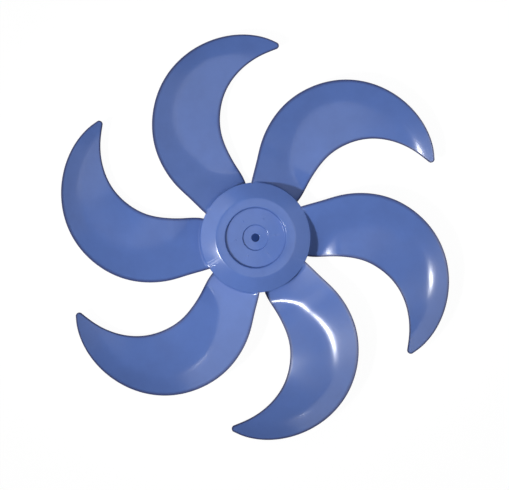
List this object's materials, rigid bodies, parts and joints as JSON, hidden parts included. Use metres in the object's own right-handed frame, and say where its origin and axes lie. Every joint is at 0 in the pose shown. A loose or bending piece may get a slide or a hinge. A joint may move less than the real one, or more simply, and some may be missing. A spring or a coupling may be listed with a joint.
{
  "type": "axial fan impeller",
  "caption": "One-piece moulded axial fan impeller with swept sickle blades on a hollow hub, bored for a round shaft with a cross pin.",
  "frame": {"origin": "on the shaft axis, in the plane of the hub's rear rim", "axes": "+Z along the shaft axis to the front, the coned side of the hub; +X and +Y across it, with the root of one blade 7 degrees round from +X towards +Y"},
  "size_m": [0.3868, 0.4048, 0.034],
  "materials": {
    "impeller_plastic": "injection-moulded blue plastic with a smooth, fairly glossy skin"
  },
  "bodies": {
    "root": {"impeller": "impeller_plastic"}
  },
  "joints": []
}
